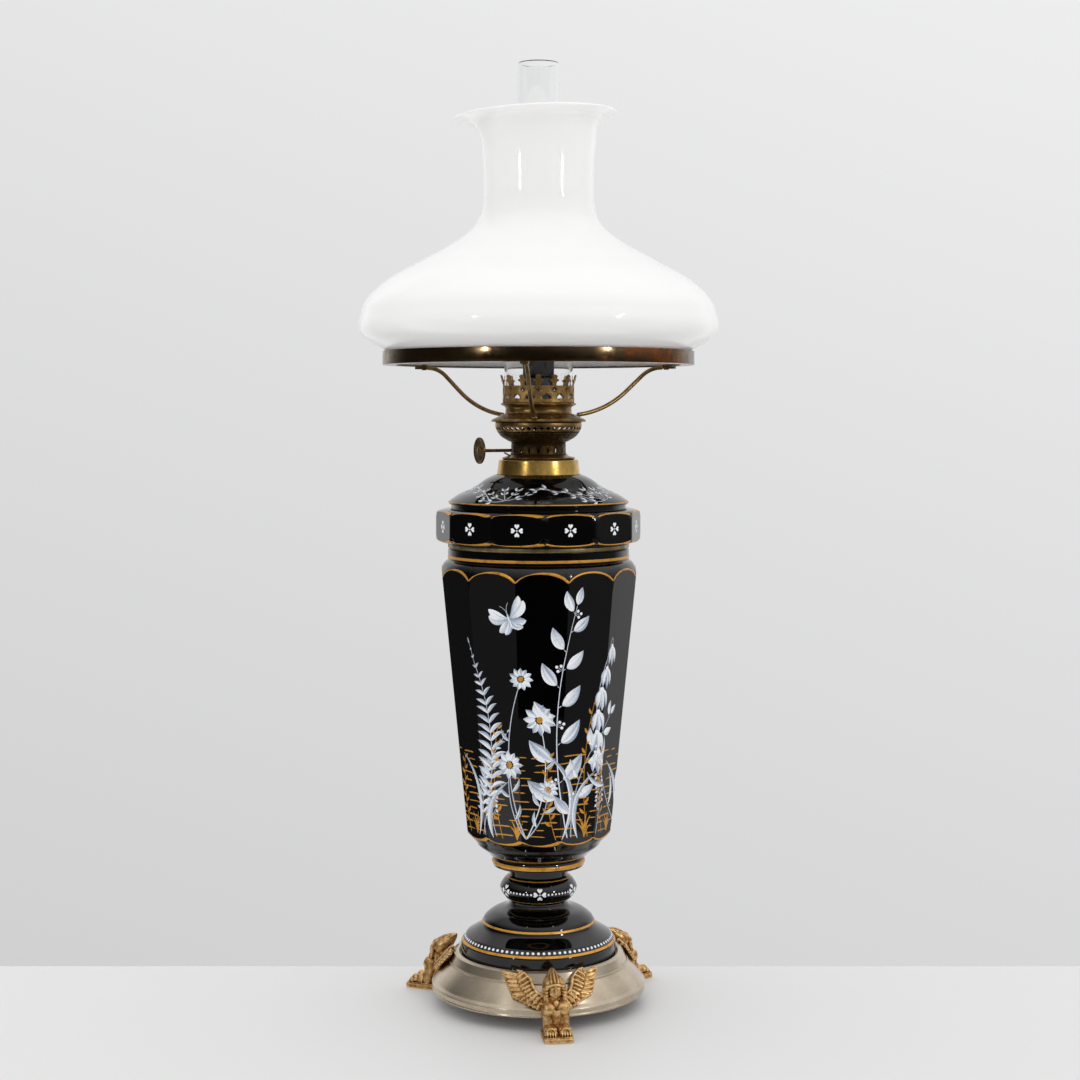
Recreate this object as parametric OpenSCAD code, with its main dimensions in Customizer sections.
// Kerosene table lamp: faceted glass vase on sphinx feet, drop-in font, round-wick burner, opal shade.
// Millimetres, +Z up, origin on the table below the middle of the lamp. The front of the lamp faces -Y.

/* [Base ring] */
// Height of the sloping wall's middle above the table, where the feet are screwed on
foot_seat_h = 24.4; // [22:0.2:28]
// Height of the sloping wall
ring_cone_h = 11; // [9:0.5:13]
// Width of the sloping wall, seen from above
ring_cone_w = 10; // [8:0.5:12]
// Height of the rolled lip below the sloping wall
ring_lip_h = 9; // [7.5:0.5:11]
// How far the rolled lip stands out from the sloping wall
ring_lip_out = 3; // [2:0.2:4.5]
// Height of the upright band above the sloping wall
ring_band_h = 8.6; // [7:0.2:12]
// Clearance between the glass foot's edge and the well that holds it
ring_well_clear = 0.9; // [0.5:0.1:1.5]
// Width of the brim between the well and the sloping wall
ring_brim_w = 8.3; // [7:0.1:12]
// Depth of the well below the ring's top edge
ring_well_h = 4.5; // [3:0.5:7]
// Width of the ledge on the well's floor
ring_ledge_w = 8; // [5:0.5:12]
// Thickness of the spun metal
ring_wall = 1.3; // [1:0.1:1.5]
// Radius of the raised line between band and slope
ring_bead_r = 0.7; // [0.4:0.1:1]

/* [Sphinx feet] */
// How far the first foot is turned from the front, towards the right
feet_turn = 8; // [0:1:25]
// Reach of the pad beyond the sloping wall's middle
pad_reach = 34.4; // [32:0.2:38]
// Length of the pad, measured outwards
pad_l = 23.5; // [20:0.5:25]
// Width of the pad
pad_w = 21; // [18:0.5:24]
// Thickness of the pad
pad_t = 4.2; // [3:0.2:6]
// Radius of the pad's corners
pad_corner_r = 3; // [1.5:0.5:4]
// Height of the headdress's tip above the table
sphinx_h = 42.6; // [41:0.2:46]
// Width of the headdress
headdress_w = 16.8; // [14:0.2:19]
// Distance between the middles of the two forelegs
leg_spacing = 10.4; // [9:0.2:12]
// Reach of one wing sideways from the body's middle
wing_reach = 32.5; // [28:0.5:36]
// Thickness of the cast wings
wing_t = 2.2; // [1.6:0.1:3]
// Number of long feathers on each wing
long_feathers = 6; // [4:1:7]
// Number of short feathers on each wing
short_feathers = 6; // [4:1:7]
// How far each wing is swept back to follow the ring
wing_sweep = 10; // [0:1:14]
// Radius of the foot screws
foot_screw_r = 2; // [1.5:0.1:2.5]
// Length of thread inside the foot
foot_screw_grip = 8; // [6:0.5:9]
// Thickness of the washers under the screw heads
foot_washer_t = 0.8; // [0.5:0.1:1.2]

/* [Glass foot] */
// Radius of the foot's upright edge
foot_r = 58.2; // [56:0.1:58.6]
// Height of the upright edge
foot_edge_h = 12; // [9:0.5:16]
// Height of the bell from the top of the edge to the neck
foot_bell_h = 29; // [25:0.5:34]
// Radius of the neck below the knop
foot_neck_r = 21.5; // [19:0.5:24]
// Radius of the step in the bell
foot_step_r = 42.5; // [39:0.5:46]
// Radius of the knop
knop_r = 29.1; // [26:0.1:32]
// Height of the knop
knop_h = 21; // [17:0.5:25]
// Height of the neck above the knop
stem_h = 5.5; // [4:0.5:9]
// Thickness of the glass in the bell
foot_glass = 4.5; // [3.5:0.5:5.5]

/* [Vase] */
// Facets round the vase
vase_facets = 12; // [10:1:14]
// Turn of the first facet's edge from the front, towards the right
vase_turn = 17; // [0:1:30]
// Distance from the axis to a facet at its lower end
vase_low_r = 53.2; // [50:0.2:56]
// Distance from the axis to a facet at its upper end
vase_high_r = 73; // [71:0.2:76]
// Height of the facets
vase_facet_h = 200.5; // [170:1:230]
// Radius of the gilt ring at the vase's foot
vase_ring_r = 35.1; // [32:0.2:38]
// Height of the gilt ring
vase_ring_h = 6.5; // [5:0.5:9]
// Height of the round bowl between gilt ring and facets
vase_bowl_h = 18; // [15:0.5:22]
// Width of the ledge under the facets
vase_ledge_w = 5.4; // [4:0.2:7]
// Height of the round shoulder above the facets
vase_shoulder_h = 5.2; // [4:0.2:7]
// Outer radius of the rim
vase_rim_r = 68.4; // [67.8:0.1:70]
// Height of the plain band below the rim
vase_rim_h = 8.7; // [7:0.1:11]
// Thickness of the glass
vase_wall = 5; // [4.5:0.5:6]
// Thickness of the vase's floor
vase_floor = 13; // [10:0.5:18]

/* [Tie rod] */
// Radius of the tie rod
rod_r = 4; // [3:0.5:5]
// Clearance of the rod in the glass and plates
rod_clear = 0.8; // [0.5:0.1:1.5]
// Height of the nuts on the rod
rod_nut_h = 6; // [5:0.5:8]
// Width across the flats of the nuts
rod_nut_w = 13; // [12:0.5:16]
// Radius of the washers on the rod
rod_washer_r = 15; // [12:0.5:18]
// Thickness of the washers on the rod
rod_washer_t = 1.6; // [1:0.2:2.4]
// Thickness of the base plate
base_plate_t = 2; // [1.5:0.5:3]
// Radius of the base plate
base_plate_r = 56.5; // [54:0.5:57]
// Thickness of the washer between knop and vase
stem_washer_t = 1; // [0.5:0.1:2]

/* [Mount ring] */
// Radius of the mount ring's flange
mount_r = 68.3; // [67.6:0.1:68.8]
// Height of the flange above the vase's rim
mount_flange_h = 4; // [3:0.1:6]
// Depth of the spigot inside the vase
mount_spigot_h = 7; // [5:0.5:9]
// Thickness of the spigot
mount_wall = 1; // [0.8:0.1:1.2]
// Clearance between the spigot and the glass
mount_clear = 0.3; // [0.2:0.1:0.5]

/* [Font] */
// Facets round the belt
belt_facets = 12; // [10:1:14]
// Turn of the first facet's edge from the front, towards the right
belt_turn = 3; // [0:1:30]
// Radius at the belt's edges
belt_r = 77.4; // [76:0.2:80]
// Height of the belt
belt_h = 24.5; // [20:0.5:28]
// Rounding of the belt's upper and lower corners
belt_round = 3.4; // [3:0.1:4.4]
// Radius of the skirt below the belt
skirt_r = 69.5; // [68.4:0.1:71]
// Height of the skirt
skirt_h = 0.5; // [0.4:0.1:3]
// Radius of the groove above the belt
groove_r = 66; // [64:0.2:66.6]
// Height of the groove above the belt
groove_h = 4; // [3:0.2:6]
// Radius of the dome's lower edge
dome_r = 68; // [67:0.1:70]
// Height of the dome
dome_h = 22; // [18:0.5:27]
// Radius of the neck under the collar
font_neck_r = 26.6; // [25:0.1:27.2]
// Depth of the bowl inside the vase
bowl_h = 78; // [65:1:90]
// Radius of the bowl's floor
bowl_floor_r = 34; // [28:1:38]
// Clearance between the bowl and the mount ring
bowl_clear = 1.6; // [1:0.2:3]
// Thickness of the glass
font_wall = 4; // [3.5:0.5:4.5]

/* [Collar] */
// Radius of the collar's upper edge
collar_top_r = 30; // [29.4:0.1:31]
// Radius of the collar's lower edge
collar_low_r = 31.4; // [31:0.1:33]
// Height of the collar
collar_h = 13; // [11:0.5:16]
// Radius of the collar's screw hole
screw_r = 22.1; // [21:0.1:22.6]
// Thickness of the collar's top
collar_top_t = 4; // [3:0.5:5]
// Thickness of the burner gasket
gasket_t = 0.8; // [0.5:0.1:1.5]

/* [Burner] */
// Clearance of the burner's spigot in the collar
screw_clear = 0.08; // [0.05:0.01:0.1]
// Depth of the burner's spigot
spigot_h = 7.2; // [6:0.2:8]
// Radius of the burner's flange
burner_flange_r = 27.6; // [26.6:0.2:29]
// Height of the burner's flange
burner_flange_h = 3; // [2.4:0.2:4]
// Radius of the slotted drum
drum_r = 20.6; // [20:0.1:21.6]
// Height of the drum
drum_h = 9.4; // [8:0.2:12]
// Number of slots round the drum
drum_slots = 18; // [14:1:20]
// Width of one slot
slot_w = 1.6; // [1:0.1:2]
// Height of one slot
slot_h = 3.4; // [2.6:0.1:4.2]
// Thickness of the burner's sheet brass
sheet = 0.8; // [0.6:0.05:0.9]
// Radius of the basket's rim
basket_r = 32.6; // [31:0.1:33.4]
// Height of the basket
basket_h = 15.2; // [13:0.2:18]
// Holes in each row of the basket
basket_holes = 32; // [24:2:36]
// Radius of the holes in the basket
basket_hole_r = 0.95; // [0.6:0.05:1.1]
// Outer radius of the wick tube
tube_r = 11.8; // [11.6:0.05:12.2]
// Height of the wick tube above the collar
tube_h = 79; // [74:0.5:84]
// Thickness of the tubes
tube_wall = 0.7; // [0.6:0.05:0.8]
// Thickness of the wick
wick_t = 2.4; // [1.8:0.1:2.6]
// Clearance of the wick on each side
wick_clear = 0.15; // [0.1:0.05:0.2]
// Width of the draught duct through the wick's slit
duct_w = 5; // [4.5:0.1:6]
// Height of the draught duct
duct_h = 12; // [10:0.5:13]

/* [Wick raiser] */
// Direction of the knob from the front, towards the left
knob_turn = 65; // [60:1:72]
// Height of the shaft above the collar
shaft_h = 6.8; // [6:0.1:7.4]
// Radius of the shaft
shaft_r = 1.25; // [1:0.05:1.4]
// Running clearance of the shaft in its bearings
shaft_clear = 0.06; // [0.03:0.01:0.1]
// Radius of the spur wheels over the teeth
spur_r = 3.3; // [2.8:0.1:3.5]
// Teeth on each spur wheel
spur_teeth = 10; // [8:1:12]
// Thickness of each spur wheel
spur_t = 1; // [0.8:0.1:1.4]
// Distance from the lamp's middle to the knob, along the shaft
knob_reach = 41.2; // [39:0.2:50]
// Radius of the knob
knob_r = 10; // [8:0.2:11]
// Thickness of the knob at its rim
knob_t = 1.8; // [1.2:0.1:2.6]

/* [Gallery] */
// Radius of the gallery plate's edge
plate_r = 35.9; // [34.6:0.1:37]
// Height of the plate's sloping step
plate_step_h = 4; // [3.4:0.2:5]
// Radius at the head of the sloping step
plate_step_r = 28.4; // [27.4:0.2:29]
// Radius of the plate's neck
plate_neck_r = 24.8; // [24.2:0.1:25.4]
// Height of the plate's neck
plate_neck_h = 8.6; // [7:0.2:10]
// Radius of the bead under the crown
crown_bead_r = 28.5; // [28:0.1:30]
// Outer radius of the crown
crown_r = 27; // [26.6:0.1:27.6]
// Thickness of the crown
crown_wall = 0.7; // [0.6:0.1:0.8]
// Height of the crown's pierced band
crown_h = 13; // [11:0.2:15]
// Height of the prongs above the band
prong_h = 9; // [7:0.2:11]
// Number of prongs
prongs = 14; // [10:1:16]
// How far the prongs' tips lean outwards
prong_flare = 2.6; // [0:0.2:4]
// Width of one prong
prong_w = 3.8; // [3:0.1:4.2]

/* [Shade ring and arms] */
// Turn of the first arm from the front, towards the left
arms_turn = 5; // [0:1:20]
// Outer radius of the shade ring
shade_ring_r = 117.5; // [116:0.5:122]
// Height of the shade ring
shade_ring_h = 10.5; // [8:0.5:14]
// Width of the ledge that carries the shade
shade_ledge_w = 10; // [9:0.2:12]
// Thickness of the shade ring
shade_ring_wall = 1.2; // [1:0.1:1.5]
// Height of the shade ring above the gallery plate's edge
arm_rise = 42.8; // [40:0.2:46]
// Radius of the arm wire
arm_r = 1.6; // [1.3:0.1:1.8]
// Steepness of the arm's straight middle
arm_slope = 41; // [38:1:46]
// Radius of the arm's upper bend
arm_high_bend = 27; // [22:1:30]
// Length of the flat pad at the arm's end
arm_pad_l = 11; // [8:0.5:12]
// Width of the flat pad
arm_pad_w = 5.6; // [4.5:0.1:7]
// Thickness of the flat pad
arm_pad_t = 1.6; // [1.2:0.1:2]

/* [Shade] */
// Radius of the shade at its widest
shade_r = 135.2; // [130:0.2:140]
// Height of the shade
shade_h = 190.5; // [175:0.5:205]
// Radius of the shade's neck
shade_neck_r = 41.8; // [38:0.2:46]
// Radius of the flange at the top
shade_flange_r = 62.2; // [58:0.2:66]
// Clearance between the shade's rim and the ring
shade_clear = 1; // [0.5:0.1:2]
// Thickness of the opal glass
shade_wall = 3; // [2.5:0.1:3.5]

/* [Chimney] */
// Radius of the chimney's base
chimney_base_r = 25.9; // [25:0.05:25.9]
// Height of the chimney's base
chimney_base_h = 40; // [36:0.5:44]
// Radius of the chimney above the waist
chimney_r = 16; // [14:0.2:18]
// Radius of the chimney's mouth
chimney_top_r = 15.5; // [14:0.1:18]
// Height of the chimney
chimney_h = 256; // [245:1:275]
// Thickness of the chimney's glass
chimney_wall = 1.4; // [1:0.1:1.8]

/* [Fits] */
// Gap between a cast or spun piece and the curved one it leans on
seat_gap = 0.15; // [0.1:0.05:0.3]
// Gap under pieces that lift off
lift_gap = 0.05; // [0.02:0.01:0.1]
// Clearance of rivets and screws in their holes
rivet_clear = 0.05; // [0.03:0.01:0.1]
// Radius of the rivets
rivet_r = 1.2; // [1:0.1:1.4]

/* [Hidden] */
$fn = 64;
eps = 0.01;
front = -90;

// The ring's radii follow the glass foot's edge
ring_well_r = foot_r + ring_well_clear;
foot_seat_r = ring_well_r + ring_brim_w + ring_cone_w / 2;

// Heights of the pieces above the table, from the base upwards
ring_low_z = foot_seat_h - ring_cone_h / 2 - ring_lip_h;
ring_slope_low_z = foot_seat_h - ring_cone_h / 2;
ring_slope_high_z = foot_seat_h + ring_cone_h / 2;
ring_top_z = ring_slope_high_z + ring_band_h;
ledge_z = ring_top_z - ring_well_h;
foot_z = ledge_z;
bell_z = foot_z + foot_edge_h;
neck_z = bell_z + foot_bell_h;
knop_z = neck_z + knop_h / 2;
knop_top_z = neck_z + knop_h;
stem_z = knop_top_z + stem_h;
vase_z = stem_z + stem_washer_t;
vase_bowl_z = vase_z + vase_ring_h;
facet_low_z = vase_bowl_z + vase_bowl_h;
facet_high_z = facet_low_z + vase_facet_h;
rim_low_z = facet_high_z + vase_shoulder_h;
rim_z = rim_low_z + vase_rim_h;
skirt_z = rim_z + mount_flange_h + lift_gap;
belt_z = skirt_z + skirt_h;
belt_top_z = belt_z + belt_h;
dome_z = belt_top_z + groove_h;
dome_top_z = dome_z + dome_h;
collar_z = dome_top_z - 1.8;
collar_top_z = collar_z + collar_h;
gasket_z = collar_top_z + lift_gap;
burner_z = gasket_z + gasket_t;
drum_z = burner_z + burner_flange_h;
basket_z = drum_z + drum_h;
basket_top_z = basket_z + basket_h;
plate_z = basket_top_z + lift_gap;
plate_step_z = plate_z + 1.6 + plate_step_h;
crown_z = plate_step_z + plate_neck_h;
shade_ring_z = plate_z + arm_rise;
shade_z = shade_ring_z + shade_ring_wall + lift_gap;
chimney_z = crown_z + sheet + lift_gap;
shaft_z = collar_top_z + shaft_h;
tube_top_z = collar_top_z + tube_h;

// Helpers for profiles: unit vector, arc, smooth curve and a path moved sideways
function unit(v) = v / norm(v);
function arc(centre, r, from, to, n = 6) =
    [for (i = [0 : n]) let (a = from + (to - from) * i / n) centre + r * [cos(a), sin(a)]];
function smooth(p, n = 4) = concat(
    [for (i = [0 : len(p) - 2], j = [0 : n - 1])
        let (t = j / n, a = p[max(i - 1, 0)], b = p[i], c = p[i + 1], d = p[min(i + 2, len(p) - 1)])
        0.5 * (2 * b + (c - a) * t + (2 * a - 5 * b + 4 * c - d) * t * t
               + (3 * b - a - 3 * c + d) * t * t * t)],
    [p[len(p) - 1]]);
function left_of(a, b) = let (t = unit(b - a)) [-t.y, t.x];
function moved(p, d) = [for (i = [0 : len(p) - 1])
    let (before = i > 0 ? left_of(p[i - 1], p[i]) : left_of(p[0], p[1]),
         after = i < len(p) - 1 ? left_of(p[i], p[i + 1]) : before,
         m = unit(before + after))
    p[i] + m * d / (m * before)];
function reversed(p) = [for (i = [len(p) - 1 : -1 : 0]) p[i]];

// A spun or blown wall: the outer path, which runs upwards, turned about the lamp's axis
module spun(path, wall) rotate_extrude() polygon(concat(path, reversed(moved(path, wall))));
module tube(z, h, outer, inner) translate([0, 0, z]) difference() {
    cylinder(h = h, r = outer);
    translate([0, 0, -1]) cylinder(h = h + 2, r = inner);
}
module around(turn, count = 3) for (i = [0 : count - 1]) rotate([0, 0, turn + i * 360 / count]) children();
// Lays a shape's +Z along the direction from the axis that leans up by the angle
module leaning(r, z, angle) translate([r, 0, z]) rotate([0, 90 - angle, 0]) children();
module hex_nut(z, h, across) translate([0, 0, z]) difference() {
    cylinder(h = h, r = across / sqrt(3), $fn = 6);
    translate([0, 0, -1]) cylinder(h = h + 2, r = rod_r + rivet_clear);
}

// Base ring
ring_slope_angle = atan2(ring_cone_h, ring_cone_w);
seat_lean = 90 - ring_slope_angle;
slope_low = [foot_seat_r + ring_cone_w / 2, ring_slope_low_z];
slope_high = [foot_seat_r - ring_cone_w / 2, ring_slope_high_z];
lip_r = slope_low.x + ring_lip_out;
rim_round = 1.8;
band_high = [slope_high.x - 3.6, ring_top_z - 1.2];
band_low = [slope_high.x - 1.2, ring_slope_high_z + 2.4];
well_path = concat([[ring_well_r - ring_ledge_w, ledge_z], [ring_well_r, ledge_z]],
    arc([ring_well_r + rim_round, ring_top_z - rim_round], rim_round, 180, 70, 5));
lip_path = smooth([[slope_low.x + 0.6, ring_slope_low_z - 1.2], [lip_r - 0.6, ring_slope_low_z - 2.8],
    [lip_r, ring_low_z + 5], [lip_r - 0.6, ring_low_z + 2.8]], 3);
ring_path = concat(well_path, [band_high],
    arc((band_low + slope_high) / 2, ring_bead_r, 130, -40, 5),
    [slope_high, slope_low], lip_path, arc([lip_r - 1.2, ring_low_z + 1.1], 1.1, 60, -60, 4));
ring_inner_path = moved(concat(well_path, [band_high, slope_high, slope_low, lip_path[0],
    lip_path[4], lip_path[len(lip_path) - 1], [lip_r - 1.2, ring_low_z]]), -ring_wall);

module base_ring() color("silver") difference() {
    rotate_extrude() polygon(concat(ring_path, reversed(ring_inner_path)));
    foot_holes(foot_screw_r + rivet_clear);
}
module foot_holes(r) around(front + feet_turn)
    leaning(foot_seat_r, foot_seat_h, seat_lean)
        translate([0, 0, -ring_wall - 4]) cylinder(h = ring_wall + 8, r = r);

module base_plate() color("dimgray") tube(ledge_z - ring_wall - base_plate_t, base_plate_t,
    base_plate_r, rod_r + rod_clear);

// Sphinx feet: x runs outwards from the sloping wall's middle, y sideways, z up from the table
head = [9.3, 0, sphinx_h - 11.4];
head_r = 6.3;
cap_lean = 38;
cap_l = (sphinx_h - head.z + 0.6) / sin(cap_lean) - 0.4;
chest = [15.2, leg_spacing / 2 - 0.4, 19];

module sphinx_pad() translate([pad_reach - pad_l, 0, 0]) {
    linear_extrude(pad_t - 0.8) pad_outline(0);
    translate([0, 0, pad_t - 0.8 - eps]) linear_extrude(0.8 + eps) pad_outline(0.8);
}
module pad_outline(inset) {
    corner = pad_corner_r - inset;
    side = pad_w / 2 - inset - corner;
    end = pad_l - inset - corner;
    translate([0, -side]) square([end, 2 * side]);
    translate([0, -side - corner]) square([end, 2 * (side + corner)]);
    for (s = [-1, 1]) translate([end, s * side]) circle(r = corner);
    translate([end - eps, -side]) square([corner + eps, 2 * side]);
}
// One foreleg with its paw and three toes
module foreleg() {
    translate([17.5, 0, pad_t - eps]) rotate([0, -12, 0]) cylinder(h = 15.5, r1 = 4.1, r2 = 4.8);
    translate([20.5, 0, pad_t + 1.6]) rotate([0, 84, 0]) cylinder(h = pad_reach - 25.2, r1 = 4.2, r2 = 3.2);
    for (k = [-1 : 1]) {
        translate([pad_reach - 5.2, k * 2.7, pad_t + 1.7]) sphere(r = 2);
        translate([pad_reach - 8.4, k * 2.6, pad_t + 2.8]) sphere(r = 2.3);
    }
}
module sphinx_body() {
    for (s = [-1, 1]) {
        translate([0, s * leg_spacing / 2, 0]) foreleg();
        translate([chest.x, s * chest.y, chest.z]) sphere(r = 5.7);
    }
    // Trunk, from the chest back to the ring
    translate([12.5, 0, 12]) rotate([0, -34, 0]) cylinder(h = 15, r1 = 7, r2 = 8.6);
    translate([14.2, 0, pad_t - eps]) cylinder(h = 15, r1 = 5.6, r2 = 6.8);
    translate([11, -7.4, pad_t - eps]) cube([4, 14.8, 14]);
    // Neck and head
    translate([11.4, 0, 21]) rotate([0, -12, 0]) cylinder(h = 9, r = 4.6);
    translate(head) sphere(r = head_r);
    translate([head.x + head_r - 0.8, 0, head.z - 0.4]) rotate([0, 200, 0])
        cylinder(h = 2.8, r1 = 1.5, r2 = 0.5);
    translate([head.x + 2.6, 0, head.z - 4.6]) sphere(r = 2.7);
    headdress();
    // Necklace on the chest
    translate([chest.x + 1.6, 0, chest.z + 4.6]) rotate([0, 190, 0]) cylinder(h = 9, r1 = 2.4, r2 = 1.5);
    translate([chest.x + 1.6, 0, chest.z + 4.6]) sphere(r = 2.4);
    // Boss that meets the ring, round the screw
    leaning(0, foot_seat_h, seat_lean) translate([0, 0, -2]) cylinder(h = 12, r = 7);
}
// Pointed headdress leaning back: a middle cone between two lower ones, its rim round the face, and two lappets
module headdress() {
    cap_r = headdress_w / 3;
    translate([head.x + 0.7, 0, head.z - 0.6]) rotate([0, cap_lean - 90, 0]) {
        cap_cone(cap_r + 0.2, cap_l);
        for (s = [-1, 1]) translate([0, s * (headdress_w / 2 - cap_r), 0]) cap_cone(cap_r, cap_l * 0.74);
        rotate_extrude() translate([headdress_w / 2 - 2, 0]) circle(r = 1);
    }
    for (s = [-1, 1]) translate([head.x + 0.5, s * (headdress_w / 2 - 2.4), head.z - 9.5])
        rotate([s * 8, 0, 0]) cylinder(h = 9, r1 = 2.3, r2 = 1.8);
}
module cap_cone(r, l) rotate_extrude() polygon(concat([[0, 0], [r - 0.6, 0]],
    smooth([[r, 0.8], [r, 0.32 * l], [0.78 * r, 0.6 * l], [0.4 * r, 0.86 * l], [0.7, l - 0.3]], 3), [[0, l]]));
// One wing, drawn flat: x is sideways, y runs up the slope of the ring
module feather(root, tip, w) {
    d = tip - root;
    translate(root) rotate(atan2(d.y, d.x)) {
        translate([0, -w / 2]) square([norm(d) - w / 2, w]);
        translate([norm(d) - w / 2, 0]) circle(r = w / 2);
    }
}
module wing_outline() {
    for (i = [0 : long_feathers - 1]) let (t = i / (long_feathers - 1))
        feather([19 - 3 * t, 17 - 14 * t], [wing_reach + 2.4 - 5 * t, 24 - 18 * t], 4.6);
    for (i = [0 : short_feathers - 1]) let (t = i / (short_feathers - 1))
        feather([16 - 8 * t, 5 - 6 * t], [wing_reach - 5 - 15 * t, 3.5 - 11 * t], 3.8);
}
module wing_coverts() polygon(concat([[6, -6], [7, 2]],
    smooth([[11, 4.5], [13.6, 9], [15.2, 15.4], [19.6, 21.4], [23, 22.4]], 3),
    smooth([[23.4, 18], [22, 11], [18.6, 4.4], [13.6, -3]], 3)));
module sphinx_wing() leaning(0, foot_seat_h, seat_lean) rotate([0, 0, 90]) {
    // In this frame x is sideways, y runs up the slope and z stands off it
    translate([6, -4, 1.6]) rotate([0, wing_sweep, 0]) translate([-6, 0, 0]) {
        linear_extrude(wing_t) wing_outline();
        linear_extrude(wing_t + 1.2) wing_coverts();
    }
}
// Everything inside the ring's outer surface, grown by the gap
module ring_envelope(gap) {
    outer = moved([for (i = [2 : len(ring_path) - 1]) ring_path[i]], gap);
    rotate_extrude() polygon(concat([[0, ring_low_z - 5]], [[0, ring_top_z + gap]],
        [[outer[0].x, ring_top_z + gap]], [for (i = [1 : len(outer) - 1]) outer[i]],
        [[outer[len(outer) - 1].x + 0.6, ring_low_z - 5]]));
}
module sphinx(turn) color("darkgoldenrod") rotate([0, 0, front + feet_turn + turn]) difference() {
    translate([foot_seat_r, 0, 0]) {
        sphinx_pad();
        sphinx_body();
        sphinx_wing();
        mirror([0, 1, 0]) sphinx_wing();
    }
    ring_envelope(seat_gap);
    leaning(foot_seat_r, foot_seat_h, seat_lean) translate([0, 0, -4])
        cylinder(h = 4 + foot_screw_grip + 0.5, r = foot_screw_r + rivet_clear);
}
// Screws and washers bear on the wall's inner side, along the slope's normal
screw_seat = -ring_wall - 0.25;
module foot_screws() color("gray") around(front + feet_turn) leaning(foot_seat_r, foot_seat_h, seat_lean) {
    translate([0, 0, screw_seat - foot_washer_t]) cylinder(h = foot_screw_grip - screw_seat + foot_washer_t,
        r = foot_screw_r);
    translate([0, 0, screw_seat - foot_washer_t - 2.2]) difference() {
        cylinder(h = 2.2, r = 1.8 * foot_screw_r);
        translate([-2 * foot_screw_r, -0.4, -1]) cube([4 * foot_screw_r, 0.8, 1.8]);
    }
}
module foot_washers() color("gray") around(front + feet_turn) leaning(foot_seat_r, foot_seat_h, seat_lean)
    translate([0, 0, screw_seat - foot_washer_t]) difference() {
        cylinder(h = foot_washer_t, r = 2.2 * foot_screw_r);
        translate([0, 0, -1]) cylinder(h = 3, r = foot_screw_r + rivet_clear);
    }

// Glass foot
bore_r = rod_r + rod_clear;
step_z = bell_z + 14;
foot_path = concat(
    [[foot_r - 0.8, foot_z], [foot_r, foot_z + 0.8]],
    arc([foot_r - 1.4, bell_z - 0.6], 1.4, 0, 60, 3),
    smooth([[foot_r - 4.2, bell_z + 5.2], [foot_r - 10.6, bell_z + 9], [foot_step_r + 1.4, bell_z + 11.6],
            [foot_step_r + 0.3, step_z - 0.6]], 3),
    smooth([[foot_step_r - 0.6, step_z + 1], [foot_step_r - 2.6, step_z + 4.2], [foot_step_r - 9, step_z + 8.6],
            [foot_neck_r + 3, neck_z - 3.6], [foot_neck_r, neck_z - 0.4]], 3),
    [[foot_neck_r, neck_z + 0.8]],
    smooth([[foot_neck_r + 0.8, neck_z + 1.6], [knop_r - 3, knop_z - 6], [knop_r, knop_z],
            [knop_r - 3, knop_z + 6], [foot_neck_r + 1, knop_top_z - 1.6]], 4),
    [[foot_neck_r + 0.2, knop_top_z - 0.6], [foot_neck_r + 0.8, stem_z]]);
module glass_foot() color("black") rotate_extrude() polygon(concat(foot_path,
    [[bore_r, stem_z], [bore_r, neck_z - foot_bell_h * 0.12], [foot_neck_r - foot_glass, neck_z - 8]],
    smooth([[foot_step_r - 10 - foot_glass, step_z + 5], [foot_step_r - foot_glass, step_z - 2],
            [foot_r - 7 - foot_glass, bell_z + 2]], 3),
    [[foot_r - foot_glass, bell_z - 3], [foot_r - foot_glass, foot_z]]));
module stem_washer() color("saddlebrown") tube(stem_z, stem_washer_t, foot_neck_r - 1, bore_r);

// Vase
facet_step = 360 / vase_facets;
edge_ratio = 1 / cos(facet_step / 2);
facet_lean = atan2(vase_high_r - vase_low_r, vase_facet_h);
function facet_r(z) = vase_low_r + (vase_high_r - vase_low_r) * (z - facet_low_z) / vase_facet_h;
function edge_r(z) = facet_r(z) * edge_ratio;
cusp_low_z = facet_low_z + 3.6;
cusp_high_z = facet_high_z - 7.2;
ledge_r = vase_low_r - vase_ledge_w;
vase_path = concat(
    [[vase_ring_r - 4, vase_z], [vase_ring_r - 1, vase_z]],
    arc([vase_ring_r - 2.6, vase_z + 3], 2.6, -50, 50, 4),
    [[vase_ring_r - 1.2, vase_bowl_z - 0.4]],
    smooth([[vase_ring_r, vase_bowl_z + 0.4], [vase_ring_r + 4.9, vase_bowl_z + 4.6],
            [ledge_r - 2.2, facet_low_z - 9], [ledge_r, facet_low_z - 5.4]], 3),
    smooth([[vase_low_r - 0.4, facet_low_z - 0.6], [vase_low_r + 1, facet_low_z + 1.3],
            [edge_r(cusp_low_z), cusp_low_z]], 2),
    smooth([[edge_r(cusp_high_z), cusp_high_z], [vase_high_r + 1.2, facet_high_z - 3.4],
            [vase_high_r, facet_high_z], [vase_high_r - 2, rim_low_z - 2], [vase_rim_r, rim_low_z]], 3),
    [[vase_rim_r, rim_z - 0.8], [vase_rim_r - 0.8, rim_z]]);
well_r = vase_rim_r - vase_wall;
vase_floor_z = vase_z + vase_floor;
function vase_inner_r(z) = facet_r(z) - vase_wall;
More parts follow.
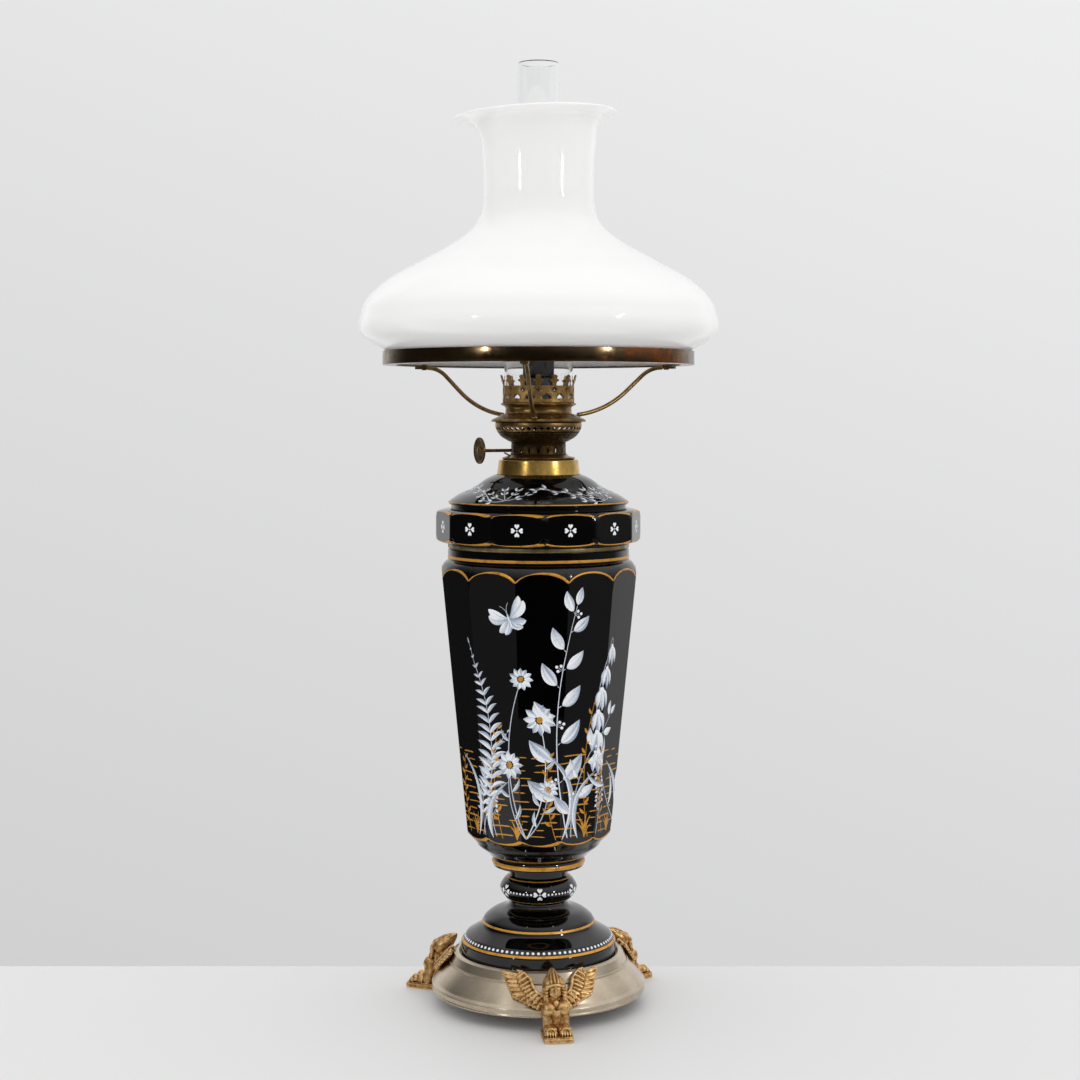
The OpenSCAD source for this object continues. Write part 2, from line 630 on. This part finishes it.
module vase() color("black") difference() {
    rotate_extrude() polygon(concat(vase_path,
        [[well_r, rim_z], [well_r, rim_low_z - 4], [vase_inner_r(facet_high_z) - 1.2, facet_high_z - 6],
         [vase_inner_r(facet_low_z + 8), facet_low_z + 8]],
        smooth([[vase_inner_r(facet_low_z) - 2, facet_low_z + 1], [ledge_r - 8, facet_low_z - 6],
                [rod_washer_r + 2, vase_floor_z]], 3),
        [[bore_r, vase_floor_z], [bore_r, vase_z]]));
    around(front + vase_turn + facet_step / 2, vase_facets) translate([vase_low_r, 0, facet_low_z])
        rotate([0, facet_lean, 0]) translate([0, -30, -6]) cube([20, 60, vase_facet_h + 14]);
}

// Tie rod with its washers and nuts
base_plate_z = ledge_z - ring_wall - base_plate_t;
inner_nut_z = vase_floor_z + rod_washer_t;
under_nut_z = base_plate_z - rod_washer_t - rod_nut_h;
module tie_rod() color("gray") translate([0, 0, under_nut_z - 2])
    cylinder(h = inner_nut_z + rod_nut_h + 4 - under_nut_z + 2, r = rod_r);
module rod_washer(z) color("gray") tube(z, rod_washer_t, rod_washer_r, rod_r + rivet_clear);
module inner_washer() rod_washer(vase_floor_z);
module inner_nut() color("gray") hex_nut(inner_nut_z, rod_nut_h, rod_nut_w);
module under_washer() rod_washer(base_plate_z - rod_washer_t);
module under_nut() color("gray") hex_nut(under_nut_z, rod_nut_h, rod_nut_w);

// Mount ring
spigot_r = well_r - mount_clear;
mount_round = mount_flange_h * 0.35;
module mount_ring() color("darkkhaki") rotate_extrude() polygon(concat(
    [[spigot_r - mount_wall, rim_z - mount_spigot_h], [spigot_r, rim_z - mount_spigot_h], [spigot_r, rim_z],
     [mount_r - mount_round - 0.4, rim_z]],
    arc([mount_r - mount_round, rim_z + mount_round], mount_round, -60, 0, 3),
    arc([mount_r - mount_round, rim_z + mount_flange_h - mount_round], mount_round, 0, 60, 3),
    [[mount_r - mount_round - 0.4, rim_z + mount_flange_h], [spigot_r - mount_wall, rim_z + mount_flange_h]]));

// Font
bowl_r = spigot_r - mount_wall - bowl_clear;
belt_facet_r = belt_r * cos(180 / belt_facets);
font_top_z = collar_top_z - collar_top_t;
font_path = concat(
    [[bore_r, skirt_z - bowl_h], [bowl_floor_r, skirt_z - bowl_h]],
    smooth([[bowl_floor_r + 2, skirt_z - bowl_h + 0.4], [bowl_r - 9, skirt_z - bowl_h + 12],
            [bowl_r - 1, skirt_z - bowl_h + 36], [bowl_r, skirt_z - bowl_h + 52]], 4),
    [[bowl_r, skirt_z], [skirt_r, skirt_z], [skirt_r, belt_z - 0.1], [belt_facet_r - 2, belt_z]],
    smooth([[belt_facet_r - 0.8, belt_z + 0.4], [belt_facet_r + 1.4, belt_z + belt_round * 0.5],
            [belt_r, belt_z + belt_round]], 3),
    smooth([[belt_r, belt_top_z - belt_round], [belt_facet_r + 1.4, belt_top_z - belt_round * 0.5],
            [belt_facet_r - 0.8, belt_top_z - 0.4]], 3),
    [[belt_facet_r - 3, belt_top_z + 0.3], [groove_r, belt_top_z + 1.4], [groove_r, dome_z],
     [dome_r - 0.6, dome_z]],
    smooth([[dome_r, dome_z + 1], [dome_r - 0.8, dome_z + 2.6], [dome_r - 8, dome_z + 7.2],
            [dome_r - 18.4, dome_z + 11.8], [dome_r - 28, dome_z + 18.6], [collar_low_r + 1.6, dome_top_z]], 3),
    [[collar_low_r + 0.6, dome_top_z - 0.4], [collar_low_r - 1, collar_z - 0.6],
     [font_neck_r, collar_z - seat_gap], [font_neck_r, font_top_z - 0.6]]);
font_hole_r = font_neck_r - font_wall;
module font() color("black") difference() {
    rotate_extrude() polygon(concat([for (i = [1 : len(font_path) - 1]) font_path[i]],
        [[font_hole_r, font_top_z - 0.6], [font_hole_r, dome_top_z - 6]],
        smooth([[font_hole_r + 6, dome_top_z - 8.6], [dome_r - 20, dome_z + 6.6], [dome_r - 10, dome_z + 1],
                [groove_r - font_wall - 2, belt_top_z - 2]], 3),
        [[groove_r - font_wall - 0.5, belt_z + 2], [bowl_r - font_wall, skirt_z - 2],
         [bowl_r - font_wall, skirt_z - bowl_h + 52]],
        smooth([[bowl_r - 1 - font_wall, skirt_z - bowl_h + 36],
                [bowl_r - 11.4 - font_wall / 2, skirt_z - bowl_h + 14],
                [bowl_floor_r - 1, skirt_z - bowl_h + font_wall + 0.2]], 4),
        [[0, skirt_z - bowl_h + font_wall], [0, skirt_z - bowl_h]]));
    around(front + belt_turn + 180 / belt_facets, belt_facets)
        translate([belt_facet_r, -30, belt_z - 4]) cube([20, 60, belt_h + 8]);
}

// Collar, cemented over the font's neck
collar_seat_z = font_top_z - 0.4 - seat_gap;
module collar() color("goldenrod") rotate_extrude() polygon([
    [font_neck_r + seat_gap, collar_z], [collar_low_r - 2.4, collar_z], [collar_low_r - 0.6, collar_z + 1.2],
    [collar_low_r, collar_z + 2.4], [collar_top_r, collar_top_z - 0.8], [collar_top_r - 0.8, collar_top_z],
    [screw_r, collar_top_z], [screw_r, collar_seat_z], [font_neck_r + seat_gap, collar_seat_z]]);
module burner_gasket() color("sienna") tube(gasket_z, gasket_t, burner_flange_r - 0.8, screw_r + 0.3);

// Burner base: spigot, flange and the seat of the wick tube
burner_spigot_r = screw_r - screw_clear;
spigot_low_z = burner_z - gasket_t - lift_gap - spigot_h;
module burner_base() color("peru") {
    rotate_extrude() polygon([[tube_r + rivet_clear, burner_z], [burner_spigot_r - sheet, burner_z],
        [burner_spigot_r - sheet, spigot_low_z], [burner_spigot_r, spigot_low_z],
        [burner_spigot_r, burner_z], [burner_flange_r, burner_z], [burner_flange_r, burner_z + 0.8],
        [drum_r + 2, drum_z - 0.8], [drum_r + 1.6, drum_z], [drum_r - sheet - 0.6, drum_z],
        [drum_r - sheet - 1.4, burner_z + sheet], [tube_r + rivet_clear, burner_z + sheet]]);
    // Small lifting tab at the flange's left
    rotate([0, 0, front - knob_turn - 8]) translate([burner_flange_r - 6, -1.6, burner_z + 1.2])
        rotate([0, -28, 0]) cube([6, 3.2, 0.9]);
}

// Drum with its slots, and beads above and below them
shaft_side = tube_r - tube_wall - wick_clear + spur_r + 0.3;
slot_mid_z = drum_z + 1.2 + slot_h / 2;
// Lays +X along the wick shaft, away from the lamp's middle
module along_shaft() rotate([0, 0, front - knob_turn]) translate([0, -shaft_side, shaft_z]) children();
module shaft_bore(r, from, to) along_shaft()
    translate([from, 0, 0]) rotate([0, 90, 0]) cylinder(h = to - from, r = r);
shaft_angle = -asin(shaft_side / drum_r);
module drum() color("peru") difference() {
    rotate_extrude() {
        translate([drum_r - sheet, drum_z]) square([sheet, drum_h]);
        translate([drum_r, drum_z + 0.7]) circle(r = 0.6);
        translate([drum_r - 0.1, drum_z + 1.6 + slot_h + 1.6]) circle(r = 0.4);
    }
    // The slots keep half a pitch clear of the shaft's bearing hole
    around(front - knob_turn + shaft_angle + 180 / drum_slots, drum_slots)
        translate([drum_r - 3, -slot_w / 2, slot_mid_z - slot_h / 2]) cube([6, slot_w, slot_h]);
    shaft_bore(shaft_r + shaft_clear, 4, drum_r + 4);
}

// Pierced basket
basket_path = smooth([[drum_r + 0.3, basket_z], [drum_r + 3.1, basket_z + 1.4], [drum_r + 7.7, basket_z + 4.3],
    [drum_r + 10.8, basket_z + 8.5], [basket_r, basket_z + 12], [basket_r - 0.2, basket_top_z]], 3);
basket_rows = [[0.72, 1, 0], [0.54, 0.9, 0.5], [0.36, 0.75, 0]];
module air_basket() color("peru") difference() {
    spun(basket_path, sheet);
    for (row = basket_rows) around(front + row[2] * 360 / basket_holes, basket_holes)
        translate([0, 0, basket_z + row[0] * basket_h]) rotate([0, 90 + 50 * (0.8 - row[0]), 0])
            translate([0, 0, drum_r - 2]) cylinder(h = 20, r = basket_hole_r * row[1]);
}

// Wick tube, draught tube and raiser
wick_r = tube_r - tube_wall - wick_clear;
wick_hole_r = wick_r - wick_t;
draught_r = wick_hole_r - wick_clear;
tube_low_z = burner_z - 5;
duct_z = drum_z + 0.5;
window_h = 2 * spur_r + 1;
// Lays +X through the duct, opposite the wick wheels
module at_duct() rotate([0, 0, front - knob_turn + 90]) children();
module wick_tube() color("black") difference() {
    tube(tube_low_z, tube_top_z - tube_low_z, tube_r, tube_r - tube_wall);
    rotate([0, 0, front - knob_turn]) translate([-7, -tube_r - 2, shaft_z - window_h / 2])
        cube([14, 6, window_h]);
    at_duct() translate([0, -duct_w / 2 + tube_wall, duct_z + tube_wall])
        cube([tube_r + 3, duct_w - 2 * tube_wall, duct_h - 2 * tube_wall]);
}
module draught_tube() color("dimgray") difference() {
    union() {
        tube(duct_z, tube_top_z - 1 - duct_z, draught_r, 0);
        at_duct() translate([0, -duct_w / 2, duct_z]) cube([tube_r - tube_wall - rivet_clear, duct_w, duct_h]);
    }
    translate([0, 0, duct_z + tube_wall]) cylinder(h = tube_top_z, r = draught_r - tube_wall);
    at_duct() translate([0, -duct_w / 2 + tube_wall, duct_z + tube_wall])
        cube([tube_r + 3, duct_w - 2 * tube_wall, duct_h - 2 * tube_wall]);
    tube(duct_z - 1, duct_h + 2, tube_r + 3, tube_r - tube_wall - rivet_clear);
}
wick_tail_z = skirt_z - bowl_h + font_wall + 10;
module wick() color("ivory") difference() {
    union() {
        tube(tube_low_z, tube_top_z - 0.5 - tube_low_z, wick_r, wick_hole_r);
        intersection() {
            tube(wick_tail_z, tube_low_z - wick_tail_z, wick_r, wick_hole_r);
            rotate([0, 0, front - knob_turn]) translate([-tube_r, -tube_r, wick_tail_z])
                cube([2 * tube_r, tube_r - 3, tube_low_z - wick_tail_z]);
        }
    }
    at_duct() translate([0, -duct_w / 2 - wick_clear, tube_low_z - 1])
        cube([tube_r + 3, duct_w + 2 * wick_clear, tube_top_z]);
}
// Bearing of the wick shaft: a strip with two ears, fixed to the wick tube
ear_x = 5.2;
ear_t = 1;
module raiser_bracket() color("peru") difference() {
    along_shaft() for (s = [-1, 1])
        translate([s * (ear_x + ear_t / 2) - ear_t / 2, -1.6, -spur_r - 1.2])
            cube([ear_t, shaft_side - 4, 2 * spur_r + 2.4]);
    tube(burner_z - 2, 40, tube_r + rivet_clear, 0);
    shaft_bore(shaft_r + shaft_clear, -20, 20);
}
shaft_end = ear_x + ear_t + 1.2;
module wick_shaft() color("peru") shaft_bore(shaft_r, -shaft_end, knob_reach + knob_t);
module spur_wheels() color("dimgray") along_shaft() for (s = [-1, 1])
    translate([s * 3.2 - spur_t / 2, 0, 0]) rotate([0, 90, 0]) difference() {
        linear_extrude(spur_t) spur_outline();
        translate([0, 0, -1]) cylinder(h = spur_t + 2, r = shaft_r + rivet_clear / 2);
    }
module spur_outline() polygon([for (i = [0 : 2 * spur_teeth - 1])
    let (a = 180 * i / spur_teeth, r = i % 2 == 0 ? spur_r : spur_r - 0.9) r * [cos(a), sin(a)]]);
module knob() color("sienna") along_shaft() translate([knob_reach, 0, 0]) rotate([0, 90, 0]) difference() {
    rotate_extrude() polygon([[0, -2.4], [2.4, -2.4], [2.4, 0], [knob_r - 0.6, 0.2], [knob_r, 0.7],
        [knob_r, knob_t - 0.3], [knob_r - 0.4, knob_t], [knob_r - 1.6, knob_t - 0.3], [3, knob_t - 0.2],
        [2.4, knob_t + 0.5], [0, knob_t + 0.7]]);
    translate([0, 0, -3]) cylinder(h = knob_t + 3 + eps, r = shaft_r + rivet_clear / 2);
}

// Gallery plate: rim over the basket, sloping step, neck and chimney seat
step_low = [plate_r - 0.6, plate_z + 1.6];
step_high = [plate_step_r, plate_step_z - 0.6];
seat_in_r = tube_r + 7.6;
plate_path = [[seat_in_r, crown_z], [crown_bead_r - 0.5, crown_z], [crown_bead_r, crown_z - 0.6],
    [crown_bead_r - 0.4, crown_z - 1.4], [plate_neck_r + 0.8, crown_z - 2.6], [plate_neck_r, crown_z - 3.8],
    [plate_neck_r + 0.4, plate_step_z + 0.8], [plate_step_r - 0.6, plate_step_z], step_high, step_low,
    [plate_r, plate_z + 0.6], [plate_r - 0.5, plate_z], [basket_r - 3.4, plate_z]];
module gallery_plate() color("peru") difference() {
    rotate_extrude() polygon(concat(plate_path,
        [[basket_r - 3.4, plate_z + sheet], [plate_step_r - 2, plate_z + sheet + 3],
         [plate_neck_r - sheet - 0.4, plate_step_z - 1], [plate_neck_r - sheet, crown_z - 3],
         [plate_neck_r - sheet - 1, crown_z - sheet], [seat_in_r, crown_z - sheet]]));
    around(front - arms_turn) at_arm_foot() translate([0, 0, -arm_stud_l - 0.4])
        cylinder(h = 8, r = rivet_r + rivet_clear);
}

// Crown: pierced band and prongs
pitch = 360 / prongs;
module spade() {
    for (s = [-1, 1]) translate([s * 1.15, 0]) circle(r = 1.15);
    polygon([[-2.15, 0.55], [0, 3.6], [2.15, 0.55], [0, -0.5]]);
}
module diamond() polygon([[-1, 0], [0, -1.6], [1, 0], [0, 1.6]]);
module prong_outline() {
    translate([-prong_w / 2, -eps]) square([prong_w, prong_h * 0.42]);
    translate([-prong_w * 0.72, prong_h * 0.42 - eps]) square([prong_w * 1.44, prong_h * 0.16]);
    for (s = [-1, 1]) translate([s * prong_w * 0.72, prong_h * 0.5]) circle(r = prong_h * 0.08);
    translate([0, prong_h * 0.76]) circle(r = prong_w * 0.34);
    translate([-prong_w * 0.3, prong_h * 0.5]) square([prong_w * 0.6, prong_h * 0.24]);
}
module radial_cut(z, l = 5)
    translate([crown_r - 2.5, 0, z]) rotate([90, 0, 90]) linear_extrude(l) children();
module flared(h, r) cylinder(h = h, r1 = r, r2 = r + prong_flare);
module crown() color("peru") {
    difference() {
        tube(crown_z + eps * 2, crown_h, crown_r, crown_r - crown_wall);
        around(front, prongs) radial_cut(crown_z + crown_h * 0.72) diamond();
        around(front + pitch / 2, prongs) radial_cut(crown_z + crown_h * 0.3) spade();
    }
    intersection() {
        translate([0, 0, crown_z + crown_h - eps]) difference() {
            flared(prong_h + 1, crown_r);
            translate([0, 0, -eps]) flared(prong_h + 1 + 2 * eps, crown_r - crown_wall);
        }
        around(front, prongs) radial_cut(crown_z + crown_h, 5 + prong_flare) prong_outline();
    }
}

// Arms: a foot on the sloping step, two bends with a straight between, and a flat pad under the ring
foot_t = 1.2;
arm_stud_l = 1.4;
step_lean = atan2(plate_r - 0.6 - plate_step_r, step_high.y - step_low.y);
arm_foot = (step_low + step_high) / 2;
arm_start = arm_foot + (foot_t + seat_gap + 0.6 * arm_r) * [cos(step_lean), sin(step_lean)];
arm_end = [shade_ring_r - arm_pad_l - 0.5, shade_ring_z - lift_gap - arm_pad_t / 2];
arm_low_angle = 6;
// The lower bend and the straight are as large as the foot, the slope and the upper bend leave them
low_run = [sin(arm_slope) - sin(arm_low_angle), cos(arm_low_angle) - cos(arm_slope)];
straight_run = [cos(arm_slope), sin(arm_slope)];
arm_way = arm_end - arm_start - arm_high_bend * [sin(arm_slope), 1 - cos(arm_slope)];
arm_low_bend = (arm_way.x * straight_run.y - arm_way.y * straight_run.x)
    / (low_run.x * straight_run.y - low_run.y * straight_run.x);
bend_one_end = arm_start + arm_low_bend * low_run;
bend_two_start = arm_end - arm_high_bend * [sin(arm_slope), 1 - cos(arm_slope)];
module at_arm_foot() translate([arm_foot.x, 0, arm_foot.y]) rotate([0, 90 - step_lean, 0]) children();
module bend(centre, r, from, to) translate([centre.x, 0, centre.y]) rotate([90, 0, 0])
    rotate([0, 0, from]) rotate_extrude(angle = to - from) translate([r, 0]) circle(r = arm_r);
module arm(turn) color("peru") rotate([0, 0, front - arms_turn + turn]) {
    at_arm_foot() translate([0, 0, seat_gap]) cylinder(h = foot_t, r = 3);
    at_arm_foot() translate([0, 0, -arm_stud_l]) cylinder(h = arm_stud_l + seat_gap + eps, r = rivet_r);
    bend(arm_start + arm_low_bend * [-sin(arm_low_angle), cos(arm_low_angle)], arm_low_bend,
        arm_low_angle - 90, arm_slope - 90);
    rod_between(bend_one_end, bend_two_start);
    for (p = [bend_one_end, bend_two_start]) translate([p.x, 0, p.y]) sphere(r = arm_r + 0.04);
    bend(bend_two_start + arm_high_bend * [sin(arm_slope), -cos(arm_slope)], arm_high_bend, 90, 90 + arm_slope);
    difference() {
        translate([arm_end.x - 1, -arm_pad_w / 2, shade_ring_z - lift_gap - arm_pad_t])
            cube([arm_pad_l + 1, arm_pad_w, arm_pad_t]);
        translate([pad_rivet_r, 0, shade_ring_z - 10]) cylinder(h = 20, r = rivet_r + rivet_clear);
    }
}
module rod_between(a, b) {
    d = b - a;
    translate([a.x, 0, a.y]) rotate([0, 90 - atan2(d.y, d.x), 0]) cylinder(h = norm(d), r = arm_r);
}
pad_rivet_r = shade_ring_r - shade_ledge_w + 2.4;
module arm_rivets() color("peru") around(front - arms_turn) {
    translate([pad_rivet_r, 0, shade_ring_z - lift_gap - arm_pad_t - 0.8])
        cylinder(h = arm_pad_t + lift_gap + shade_ring_wall + 1.6, r = rivet_r);
    translate([pad_rivet_r, 0, shade_ring_z - lift_gap - arm_pad_t - 0.8]) cylinder(h = 0.8, r = 1.7 * rivet_r);
    translate([pad_rivet_r, 0, shade_ring_z + shade_ring_wall]) cylinder(h = 0.8, r = 1.7 * rivet_r);
}
module shade_ring() color("saddlebrown") difference() {
    rotate_extrude() polygon([[shade_ring_r - shade_ledge_w, shade_ring_z], [shade_ring_r - 0.3, shade_ring_z],
        [shade_ring_r, shade_ring_z + 0.3], [shade_ring_r, shade_ring_z + shade_ring_h],
        [shade_ring_r - shade_ring_wall, shade_ring_z + shade_ring_h],
        [shade_ring_r - shade_ring_wall, shade_ring_z + shade_ring_wall],
        [shade_ring_r - shade_ledge_w, shade_ring_z + shade_ring_wall]]);
    around(front - arms_turn) translate([pad_rivet_r, 0, shade_ring_z - 5])
        cylinder(h = 20, r = rivet_r + rivet_clear);
}

// Shade: rim in the ring, belly, shoulder, neck and flange
shade_rim_r = shade_ring_r - shade_ring_wall - shade_clear;
shade_top_z = shade_z + shade_h;
function shade_at(r, part) = [r, shade_z + part * shade_h];
// A point of the shade on its neck, widened by a share of the belly and by some millimetres
function on_neck(part, share, wider = 0) =
    shade_at(shade_neck_r + share * (shade_r - shade_neck_r) + wider, part);
shade_path = concat(
    [[shade_rim_r - 1.2, shade_z], [shade_rim_r, shade_z + 1], [shade_rim_r, shade_z + 6]],
    smooth([shade_at(shade_rim_r + 0.5, 0.052), shade_at(shade_r - 5.2, 0.094), shade_at(shade_r, 0.136),
        shade_at(shade_r - 0.9, 0.185), shade_at(shade_r - 5.6, 0.251), on_neck(0.330, 0.77),
        on_neck(0.408, 0.49), on_neck(0.487, 0.21), on_neck(0.553, 0.06), on_neck(0.62, 0, 0.8),
        on_neck(0.70, 0), on_neck(0.82, 0, 0.6), on_neck(0.914, 0, 2.8), on_neck(0.958, 0, 6)], 3),
    smooth([on_neck(0.974, 0, 10.5), [shade_flange_r - 2, shade_top_z - 2.2],
        [shade_flange_r, shade_top_z - 1.1]], 2));
module shade() color("white") rotate_extrude() polygon(concat(shade_path,
    [[shade_flange_r - 0.4, shade_top_z], [shade_flange_r - 3, shade_top_z + 0.2]],
    smooth([on_neck(0.99, 0, 9.4), on_neck(0.972, 0, 4), on_neck(0.925, 0, 2.8 - shade_wall),
        on_neck(0.82, 0, 0.6 - shade_wall), on_neck(0.70, 0, -shade_wall), on_neck(0.62, 0, 0.8 - shade_wall),
        on_neck(0.545, 0.05, -shade_wall), on_neck(0.475, 0.19, -shade_wall), on_neck(0.396, 0.47, -shade_wall),
        on_neck(0.318, 0.75, -shade_wall), shade_at(shade_r - 7.2 - shade_wall, 0.239),
        shade_at(shade_r - 1.6 - shade_wall, 0.18), shade_at(shade_r - shade_wall - 0.2, 0.138),
        shade_at(shade_r - 4.2 - shade_wall, 0.106), shade_at(shade_rim_r + 2 - shade_wall, 0.066)], 3),
    [[shade_rim_r - shade_wall, shade_z + 6], [shade_rim_r - shade_wall, shade_z]]));

// Chimney: cylindrical base, waist above the flame, long straight tube
waist_z = chimney_z + chimney_base_h;
chimney_path = concat(
    [[chimney_base_r, chimney_z], [chimney_base_r, waist_z]],
    smooth([[chimney_base_r - 0.5, waist_z + 2.4], [chimney_base_r - 5, waist_z + 8.6],
            [chimney_r + 0.6, waist_z + 14], [chimney_r - 1, waist_z + 18.4], [chimney_r, waist_z + 24]], 4),
    [[chimney_top_r, chimney_z + chimney_h]]);
module chimney() color("lightcyan") spun(chimney_path, chimney_wall);

base_ring();
base_plate();
sphinx(0);  // sphinx_front
sphinx(120);  // sphinx_right
sphinx(240);  // sphinx_left
foot_screws();
foot_washers();
glass_foot();
stem_washer();
vase();
tie_rod();
inner_washer();
inner_nut();
under_washer();
under_nut();
mount_ring();
font();
collar();
burner_gasket();
burner_base();
drum();
air_basket();
wick_tube();
draught_tube();
raiser_bracket();
wick_shaft();
spur_wheels();
knob();
wick();
gallery_plate();
crown();
arm(0);  // arm_front
arm(120);  // arm_right
arm(240);  // arm_left
arm_rivets();
shade_ring();
shade();
chimney();
